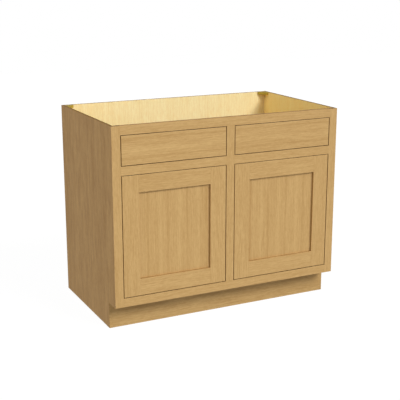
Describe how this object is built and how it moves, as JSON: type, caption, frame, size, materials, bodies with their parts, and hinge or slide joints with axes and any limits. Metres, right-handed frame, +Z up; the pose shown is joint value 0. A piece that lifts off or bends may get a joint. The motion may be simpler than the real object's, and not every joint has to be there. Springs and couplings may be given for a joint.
{
  "type": "sink base cabinet",
  "caption": "Face-frame kitchen sink base cabinet with an open top, false drawer fronts and flush recessed-panel doors on concealed pivot hinges.",
  "frame": {"origin": "on the floor, under the middle of the cabinet's bounding box", "axes": "+X to the cabinet's right as seen from the front, +Y from the doors to the back panel, +Z up"},
  "size_m": [1.0668, 0.6286, 0.8763],
  "materials": {
    "front_wood": "satin light stain, clear coat",
    "side_plywood": "satin light stain, clear coat",
    "inside_plywood": "clear coat on pale veneer",
    "hidden_plywood": "bare plywood",
    "brace_wood": "bare wood with clear coat",
    "hinge_steel": "satin zinc plate",
    "washer_bronze": "oiled bronze",
    "catch_plastic": "matt brown"
  },
  "bodies": {
    "cabinet": {"left_side_panel": "side_plywood", "left_frame_stile": "front_wood", "left_middle_rail": "front_wood", "left_false_front": "front_wood", "left_outer_front_cleat": "hidden_plywood", "left_inner_front_cleat": "hidden_plywood", "left_corner_brace": "brace_wood", "left_catch_housing": "catch_plastic", "left_catch_magnet": "hinge_steel", "left_lower_hinge_rail_leaf": "hinge_steel", "left_lower_hinge_washer": "washer_bronze", "left_upper_hinge_rail_leaf": "hinge_steel", "left_upper_hinge_washer": "washer_bronze", "right_side_panel": "side_plywood", "right_frame_stile": "front_wood", "right_middle_rail": "front_wood", "right_false_front": "front_wood", "right_outer_front_cleat": "hidden_plywood", "right_inner_front_cleat": "hidden_plywood", "right_corner_brace": "brace_wood", "right_catch_housing": "catch_plastic", "right_catch_magnet": "hinge_steel", "right_lower_hinge_rail_leaf": "hinge_steel", "right_lower_hinge_washer": "washer_bronze", "right_upper_hinge_rail_leaf": "hinge_steel", "right_upper_hinge_washer": "washer_bronze", "back_panel": "inside_plywood", "cabinet_floor": "inside_plywood", "toe_board": "side_plywood", "floor_bearer": "hidden_plywood", "top_rail": "front_wood", "bottom_rail": "front_wood", "centre_stile": "front_wood"},
    "left_door": {"left_door_hinge_stile": "front_wood", "left_door_latch_stile": "front_wood", "left_door_top_rail": "front_wood", "left_door_bottom_rail": "front_wood", "left_door_panel": "front_wood", "left_catch_strike": "hinge_steel", "left_lower_hinge_door_leaf": "hinge_steel", "left_upper_hinge_door_leaf": "hinge_steel"},
    "right_door": {"right_door_hinge_stile": "front_wood", "right_door_latch_stile": "front_wood", "right_door_top_rail": "front_wood", "right_door_bottom_rail": "front_wood", "right_door_panel": "front_wood", "right_catch_strike": "hinge_steel", "right_lower_hinge_door_leaf": "hinge_steel", "right_upper_hinge_door_leaf": "hinge_steel"}
  },
  "joints": [
    {"name": "left_door_swing", "type": "hinge", "parent": "cabinet", "child": "left_door", "pos_m": [-0.4873, -0.30933, 0.1524], "axis": [0, 0, -1], "range_deg": [0, 110]},
    {"name": "right_door_swing", "type": "hinge", "parent": "cabinet", "child": "right_door", "pos_m": [0.4873, -0.30933, 0.1524], "axis": [0, 0, 1], "range_deg": [0, 110]}
  ]
}
